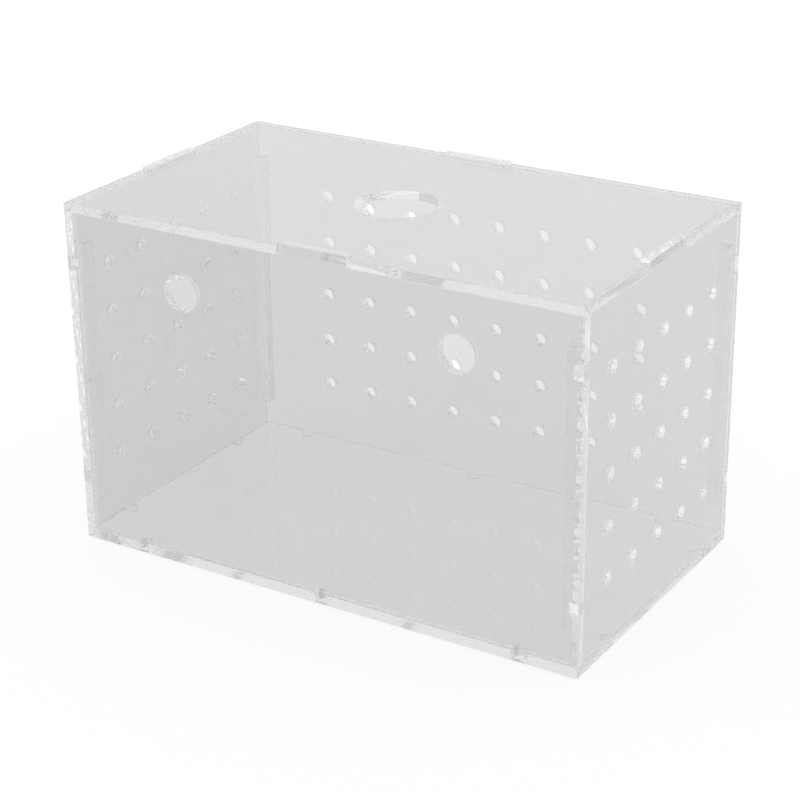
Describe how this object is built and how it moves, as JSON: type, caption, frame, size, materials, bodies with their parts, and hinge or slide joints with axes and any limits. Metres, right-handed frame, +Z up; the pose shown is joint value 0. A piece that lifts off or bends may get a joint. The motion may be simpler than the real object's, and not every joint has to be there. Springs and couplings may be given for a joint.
{
  "type": "fish breeding box",
  "caption": "Clear acrylic fish breeding box: keyed flat walls with vents, square rods inside the corners, suction-cup holes in the front, and a lift-off lid with a feeding hole.",
  "frame": {"origin": "middle of the underside, on the surface the box stands on", "axes": "+X along the box's length to the right seen from the front, +Y from the front plate to the back plate, +Z up"},
  "size_m": [0.157, 0.09, 0.1007],
  "materials": {
    "base_acrylic": "clear cast acrylic sheet with laser-cut edges",
    "wall_acrylic": "clear cast acrylic sheet with laser-cut edges",
    "lid_acrylic": "clear cast acrylic sheet with laser-cut edges"
  },
  "bodies": {
    "box": {"base_plate": "base_acrylic", "front_plate": "wall_acrylic", "back_plate": "wall_acrylic", "left_end_plate": "wall_acrylic", "right_end_plate": "wall_acrylic", "corner_rod_front_left": "wall_acrylic", "corner_rod_front_right": "wall_acrylic", "corner_rod_back_left": "wall_acrylic", "corner_rod_back_right": "wall_acrylic"},
    "lid": {"lid_plate": "lid_acrylic"}
  },
  "joints": [
    {"name": "lid_lift", "type": "slide", "parent": "box", "child": "lid", "axis": [0, 0, 1], "range_m": [0, 0.06]}
  ]
}
